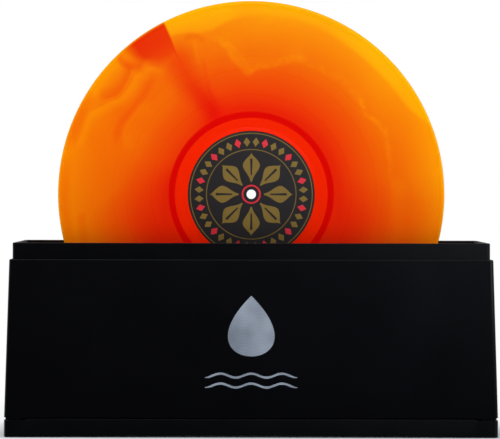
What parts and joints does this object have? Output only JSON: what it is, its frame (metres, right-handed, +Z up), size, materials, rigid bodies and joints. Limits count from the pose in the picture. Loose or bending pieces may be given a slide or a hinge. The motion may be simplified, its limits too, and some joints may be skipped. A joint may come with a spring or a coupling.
{
  "type": "record cleaning machine",
  "caption": "Hand-turned record washer: black tapered casing with a wash bath, a record upright on grooved rollers between brushes, on a drip tray.",
  "frame": {"origin": "centre of the footprint, on the surface that the tray's feet stand on", "axes": "+X to the right along the long side, +Y to the back, +Z up"},
  "size_m": [0.3746, 0.142, 0.3351],
  "materials": {
    "casing_plastic": "satin moulded black",
    "bath_plastic": "satin moulded black",
    "tray_plastic": "satin moulded black",
    "foot_rubber": "matt black rubber",
    "steel": "turned stainless steel",
    "bush_plastic": "natural acetal",
    "vinyl": "translucent marbled orange vinyl with grooves",
    "label_paper": "printed black paper",
    "roller_plastic": "grey moulded plastic",
    "tyre_rubber": "soft black rubber",
    "brush_plastic": "black moulded plastic",
    "brush_pile": "short pale grey pile"
  },
  "bodies": {
    "tray": {"base_tray": "tray_plastic", "tray_foot_front_left": "foot_rubber", "tray_foot_front_right": "foot_rubber", "tray_foot_back_left": "foot_rubber", "tray_foot_back_right": "foot_rubber"},
    "housing": {"casing": "casing_plastic", "bath": "bath_plastic", "casing_foot_front_left": "foot_rubber", "casing_foot_front_right": "foot_rubber", "casing_foot_back_left": "foot_rubber", "casing_foot_back_right": "foot_rubber", "bath_screw_front_left": "steel", "bath_screw_front_right": "steel", "bath_screw_back_left": "steel", "bath_screw_back_right": "steel", "axle_bush_front_left": "bush_plastic", "axle_bush_front_right": "bush_plastic", "axle_bush_back_left": "bush_plastic", "axle_bush_back_right": "bush_plastic"},
    "record": {"record_disc": "vinyl", "label_front": "label_paper", "label_back": "label_paper"},
    "roller_left": {"roller_axle_left": "steel", "roller_core_left": "roller_plastic", "roller_tyre_left": "tyre_rubber"},
    "roller_right": {"roller_axle_right": "steel", "roller_core_right": "roller_plastic", "roller_tyre_right": "tyre_rubber"},
    "brush_front": {"brush_holder_front": "brush_plastic", "brush_pad_front": "brush_pile"},
    "brush_back": {"brush_holder_back": "brush_plastic", "brush_pad_back": "brush_pile"}
  },
  "joints": [
    {"name": "casing_lift", "type": "slide", "parent": "tray", "child": "housing", "axis": [0, 0, 1], "range_m": [0, 0.05]},
    {"name": "record_spin", "type": "hinge", "parent": "housing", "child": "record", "pos_m": [0, 0, 0.1843], "axis": [0, 1, 0], "continuous": true},
    {"name": "roller_left_spin", "type": "hinge", "parent": "housing", "child": "roller_left", "pos_m": [-0.123, 0, 0.08073], "axis": [0, 1, 0], "continuous": true},
    {"name": "roller_right_spin", "type": "hinge", "parent": "housing", "child": "roller_right", "pos_m": [0.123, 0, 0.08073], "axis": [0, 1, 0], "continuous": true},
    {"name": "brush_front_lift", "type": "slide", "parent": "housing", "child": "brush_front", "axis": [0, 0, 1], "range_m": [0, 0.09]},
    {"name": "brush_back_lift", "type": "slide", "parent": "housing", "child": "brush_back", "axis": [0, 0, 1], "range_m": [0, 0.09]}
  ],
  "couplings": [
    {"joint": "roller_left_spin", "follows": "record_spin", "ratio": -15.08},
    {"joint": "roller_right_spin", "follows": "record_spin", "ratio": -15.08}
  ]
}
